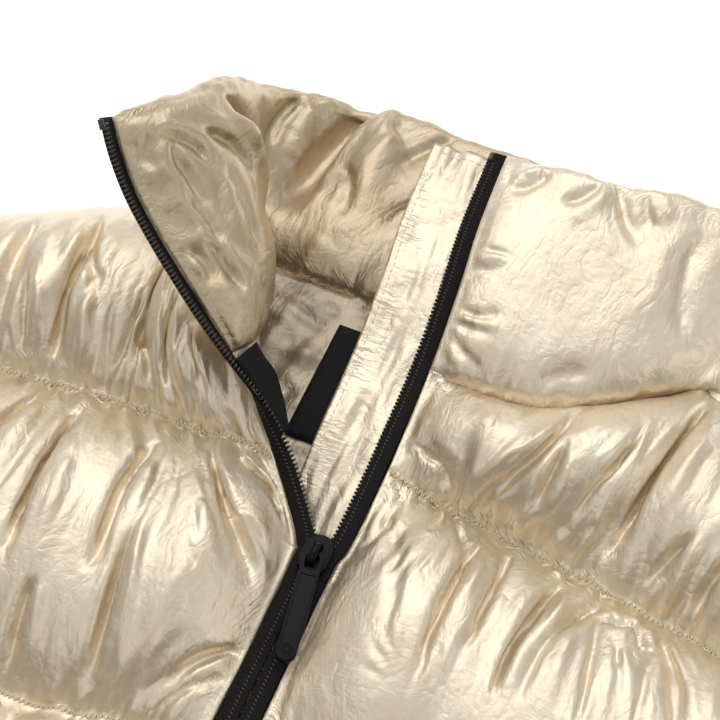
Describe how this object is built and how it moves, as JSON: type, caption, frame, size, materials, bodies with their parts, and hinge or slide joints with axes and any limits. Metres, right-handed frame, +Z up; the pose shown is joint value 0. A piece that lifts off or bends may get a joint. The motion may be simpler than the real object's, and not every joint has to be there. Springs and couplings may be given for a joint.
{
  "type": "gilet",
  "caption": "Padded gilet laid flat on its back, with shirred bands, a tall stand collar and a half-open front zip.",
  "frame": {"origin": "middle of the garment's bounding box in plan, on the surface it lies on", "axes": "+X to the wearer's left, +Y from hem to collar, +Z up from the surface, towards the front of the garment"},
  "size_m": [0.5375, 0.6436, 0.1212],
  "materials": {
    "outer_fabric": "champagne gold metallic foil on thin nylon",
    "lining_fabric": "silvery gold satin lining",
    "black_fabric": "matt black woven cloth",
    "zip_tape": "black woven zip tape with a black coil",
    "black_metal": "glossy black lacquer"
  },
  "bodies": {
    "garment": {"front_left": "outer_fabric", "front_right": "outer_fabric", "back_panel": "outer_fabric", "back_lining": "lining_fabric", "collar": "outer_fabric", "underlap": "outer_fabric", "facing_right": "black_fabric", "neck_label": "black_fabric", "zip_tape_left": "zip_tape", "zip_tape_right": "zip_tape", "slider": "black_metal"},
    "pull_tab": {"pull_tab": "black_metal"}
  },
  "joints": [
    {"name": "tab_hinge", "type": "hinge", "parent": "garment", "child": "pull_tab", "pos_m": [0, 0.0915, 0.0405], "axis": [-0.9877, -0.1564, 0], "range_deg": [0, 165]}
  ]
}
